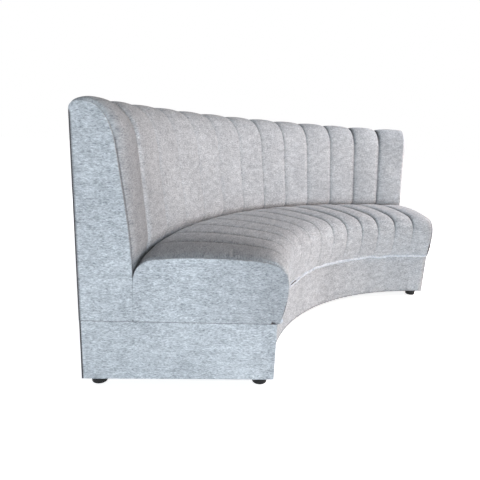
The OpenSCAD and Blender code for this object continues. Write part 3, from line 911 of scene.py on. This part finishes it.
def pleated_shade(r, z, edge):
    """The seat panel's painted shade: in its seams, in its pleat and at its mouth, along the firm seam
    under the nose, and darker towards the nose."""
    up, behind = pleat_at(r, z)
    shades = [
        panel_shade(r, z, edge),
        0.4 * clipped(5 * (1 - up)) * dark_line(abs(behind), pleat_line),
        nose_painted_shade * clipped((nose_painted_shade_r - r) / nose_painted_shade_run) ** 1.3,
    ]
    if r < pleat_foot[0] + pleat_half:
        shades.append(dark_line(math.hypot(0.7 * behind, 1.3 * (z - plinth_z)), mouth_line))
    if r < pleat_foot[0]:
        from_middle = (z - nose_seam_z) / nose_seam_half
        shades.append(0.9 * dark_line(edge, nose_seam) * math.exp(-(from_middle ** 4)))
    return max(shades)


pleat_cuts = [0.952 + 0.0023 * k for k in range(14)]
seat_panel_line = [tuple(p) for p in traced(seat_curves, (16, 20, 30, 16))]
seat_panel_line += [(seat_back_r, plinth_z), (seat_rail_r, plinth_z)]
for side, word in ends:
    piece = end_cloth(
        name="seat_end_cloth_" + word,
        side=side,
        outline=seat_panel_line,
        rolled=len(seat_panel_line) - 3,
        thick=end_t,
        edge_r=panel_edge_r,
        shape=pleated_shape,
        shade=pleated_shade,
        fine=pleat_cuts,
    )
    worn_by(piece, "seat_end_panel_" + word)

# Back foam: a thin sheet of foam glued over the inside skin and the top rail.
# It softens the back's front face and its rolled top, and the channelled cover hides it.
back_front_r = 1.408
back_pad_t, back_foam_t = 0.008, 0.012
back_top_z, rear_seam_z = 0.899, 0.868
tuck, full = (back_front_r, 0.385), (1.41206, 0.471)
lean_end, crest = (1.450, 0.777), (1.537, back_top_z)
back_curves = [
    between(tuck, full, (0, 0.33), (0.5, 0.33)),
    between(full, lean_end, (0.2, 0.33), (0.36, 0.33)),
    between(lean_end, crest, (0.1, 0.53), (0.61, 0)),
    between(crest, (back_out_r, rear_seam_z), (0.57, 0), (0, 0.77)),
]
back_line = traced(back_curves, (4, 8, 6, 6))
foam_block(
    "back_foam",
    [tuple(p) for p in set_in(back_line, back_pad_t + seat_gap)]
    + [tuple(p) for p in set_in(back_line, back_pad_t + back_foam_t)[::-1]],
)

# Back cover: the same thirteen channels, from the crevice behind the seat up over the rolled top.
# The cloth ends in a seam along the back's rear edge.
back_rise, back_valley = 0.029, 0.008
back_rise_shares = (0, 0.08, 0.6, 1.15, 1.1, 1, 0.98, 0.95, 0.82, 0.56, 0.31, 0.18, 0.06, 0)
back_valley_shares = (0, 0.15, 0.6, 0.8, 0.75, 0.65, 0.6, 0.7, 1, 1.35, 1.65, 1.5, 0.8, 0)
back_pull_shares = (0, 2.9, 0.8, 0.7, 0.8, 0.9, 0.9, 0.9, 1, 1, 1.1, 1.3, 1.4, 0)
back_first_shares = (1, 0.6, 0.5, 0.5, 0.5, 0.6, 0.7, 0.7, 0.65, 0.6, 0.6, 0.7, 0.9, 1)
back_low_shares = (0.9, 0.9, 0.9, 0.88, 0.85, 0.65, 0.48, 0.32, 0.12, 0.1, 0.4, 0.9, 0.9, 0)
# Shares of painted shade in each back seam; the first is the dark line of the near end seam.
back_shade_shares = (0.8, 0, 0.05, 0.05, 0.1, 0.1, 0.15, 0.2, 0.2, 0.2, 0.3, 0.6, 0.7, 0.05)
back_dome_shares = [0.5, 0.5, 0.95, 0.35] + [0.5] * 24
# Painted shade across the first channels at the left end, with a lighter gap just right of the first seam.
back_painted_shade_marks = ((0, 0.28), (0.5, 0.38), (0.98, 0.44), (1, 0), (1.06, 0), (1.13, 0.17), (3, 0))
back_cover = channelled(
    name="back_cover",
    node="back_channelled_cover",
    curves=back_curves,
    counts=(18, 54, 36, 12),
    table_steps=(3, 4, 4, 2),
    rise=back_rise,
    rise_shares=back_rise_shares,
    valley=back_valley,
    valley_shares=back_valley_shares,
    pull_shares=back_pull_shares,
    shade_shares=back_shade_shares,
    end_rolls=(0.55, 0.03, 0.25),
    crevice=(1.1, 0.5),
    painted_shade_marks=back_painted_shade_marks,
    painted_shade_span=(-1, 0),
    pad_t=back_pad_t,
    seed=29,
    seam_stop=8.4,
    first_shares=back_first_shares,
    low_shares=back_low_shares,
    dome_shares=back_dome_shares,
)

# Outside back: one length of chenille pulled round the bent rear skin and blind-tacked under the top
# seam. It runs down to the plinth.
outside_pull = 0.001
outside_strip = rounded_strip(back_out_r - cloth_t, back_out_r, plinth_z, rear_seam_z, plinth_edge_r)
outside = curved_cloth("outside_back_cloth", facing_out(outside_strip), 1, end_t, outside_pull)
worn_by(outside, "outside_back_cover")

# Back end panels: chenille over thin wadding on the ends of the back, from the plinth up round the top
# roll. A fine line of painted shade shows where each one meets the channelled cover.
back_crown, back_crown_run = 0.0012, 0.012
back_corner_r, back_corner_line = 0.005, 0.0085
back_panel_seam = 0.002
# Painted shade that grows darker towards the top of the back panel.
head_painted_shade, head_painted_shade_z, head_painted_shade_run = 0.12, 0.4, 0.35
corner_cuts = [back_out_r - 0.0009 * k for k in range(1, 8)]
back_panel_line = [tuple(p) for p in traced(back_curves, (8, 24, 24, 10))]
back_panel_line += [(back_out_r, plinth_z), (back_front_r, plinth_z)]


def back_panel_shape(r, z, edge):
    """The back's end panel is fuller than the seat's above the seat, and turns in at its back corner."""
    above_seat = clipped((z - seat_seam_z + 0.08) / 0.12)
    above_seat *= above_seat * (3 - 2 * above_seat)
    fuller = back_crown * above_seat * (1 - math.exp(-edge / back_crown_run))
    turn = max(0.0, min(back_corner_r, back_corner_r - back_out_r + r))
    corner = back_corner_r - math.sqrt(back_corner_r ** 2 - turn ** 2)
    return panel_shape(r, z, edge) + fuller - corner


def back_panel_shade(r, z, edge):
    """The back panel's painted shade: in its seams at the plinth and the cover, along the line round the
    back corner, and darker towards the top."""
    shades = [panel_shade(r, z, edge), head_painted_shade * clipped((z - head_painted_shade_z) / head_painted_shade_run)]
    if z < rear_seam_z:
        shades.append(dark_line(back_out_r - r, back_corner_line))
    if r < lean_end[0] + 0.02:
        shades.append(0.35 * dark_line(edge, back_panel_seam) * clipped(8 * (0.83 - z)))
    return max(shades)


for side, word in ends:
    piece = end_cloth(
        name="back_end_cloth_" + word,
        side=side,
        outline=back_panel_line,
        rolled=len(back_panel_line) - 2,
        thick=end_t,
        edge_r=panel_edge_r,
        shape=back_panel_shape,
        shade=back_panel_shade,
        fine=corner_cuts,
    )
    worn_by(piece, "back_end_panel_" + word)

# Room: a white floor and background, soft lamps round the bench and the camera of the photograph.
# None of it belongs to the bench.
camera_at = Vector((-1.7423, -1.2433, 0.829))
heading, pitch, tilt = math.radians(50.63), math.radians(14.38), math.radians(3.38)
forward = Vector(
    (math.sin(heading) * math.cos(pitch), math.cos(heading) * math.cos(pitch), -math.sin(pitch))
)
level = forward.cross(Vector((0, 0, 1))).normalized()
above = level.cross(forward)
right = level * math.cos(tilt) + above * math.sin(tilt)
up = above * math.cos(tilt) - level * math.sin(tilt)
lens = bpy.data.cameras.new("camera")
lens.lens = 32.99
lens.shift_x, lens.shift_y = -0.0471, 0.0195
lens.clip_start, lens.clip_end = 0.05, 60
camera = bpy.data.objects.new("camera", lens)
camera.matrix_world = Matrix.Translation(camera_at) @ Matrix((right, up, -forward)).transposed().to_4x4()
bpy.context.scene.collection.objects.link(camera)
bpy.context.scene.camera = camera

floor_mesh = bmesh.new()
bmesh.ops.create_circle(floor_mesh, cap_ends=True, segments=64, radius=25)
floor_finish = Finish(bpy.data.materials.new("white_floor"))


def shown_rays(finish):
    """1 for a ray that shows the background: straight from the camera, by a gloss or through glass."""
    camera_ray, glossy_ray, clear_ray = (
        finish.node("ShaderNodeLightPath", output=k) for k in (0, 3, 6)
    )
    return finish.node("ShaderNodeClamp", {}, {"Value": camera_ray + glossy_ray + clear_ray})


seen = shown_rays(floor_finish)
matt = floor_finish.node("ShaderNodeBsdfDiffuse", {}, {"Color": (0.9, 0.9, 0.9, 1)})
spot = floor_finish.node("ShaderNodeTexCoord", output=3)
away = floor_finish.node("ShaderNodeVectorMath", {"operation": "LENGTH"}, {0: spot}, 1)
far_share = floor_finish.node(
    "ShaderNodeMapRange", {}, {"Value": away, "From Min": 1.8, "From Max": 5.0}
)
pale = floor_finish.blend(far_share, (0.86, 0.86, 0.86, 1), (1, 1, 1, 1))
glow_colour = floor_finish.blend(seen, (0, 0, 0, 1), pale)
glow = floor_finish.node("ShaderNodeEmission", {}, {"Color": glow_colour})
both = floor_finish.node("ShaderNodeAddShader", {}, {0: matt, 1: glow})
floor_finish.node("ShaderNodeOutputMaterial", {}, {"Surface": both})
floor = stood(floor_mesh, "floor", floor_finish.wearer)


def lamp(name, size, energy, colour, place, aim):
    """A soft square lamp at a place, turned to what it lights."""
    light = bpy.data.lights.new(name, "AREA")
    light.shape = "SQUARE"
    light.size = size
    light.energy = energy
    light.color = colour
    body = bpy.data.objects.new(name, light)
    body.location = place
    body.rotation_euler = (Vector(aim) - Vector(place)).to_track_quat("-Z", "Y").to_euler()
    bpy.context.scene.collection.objects.link(body)


lamp("lamp_door", 1.5, 149, (0.805, 0.915, 1.0), (-3.2, -3.2, 0.5), (-0.9, -0.3, 0.4))
lamp("lamp_room", 1.5, 42, (1.0, 0.64, 0.42), (2.4, -2.0, 1.3), (0.5, -0.2, 0.4))
lamp("lamp_table", 1.2, 48, (0.80, 0.87, 0.97), (2.0, -1.0, 1.7), (0.6, -0.2, 0.4))
lamp("lamp_rear", 2.0, 45, (0.95, 0.97, 1.0), (-0.4, 4.4, 0.9), (0, 0.3, 0.3))

world = bpy.data.worlds.new("studio")
bpy.context.scene.world = world
sky = Finish(world)
plain = sky.node("ShaderNodeBackground", {}, {"Color": (1, 1, 1, 1), "Strength": 0.085})
white = sky.node("ShaderNodeBackground", {}, {"Color": (1, 1, 1, 1), "Strength": 1.0})
shown = sky.node("ShaderNodeMixShader", {}, {0: shown_rays(sky), 1: plain, 2: white})
sky.node("ShaderNodeOutputWorld", {}, {"Surface": shown})
bpy.context.scene.view_settings.view_transform = "Standard"
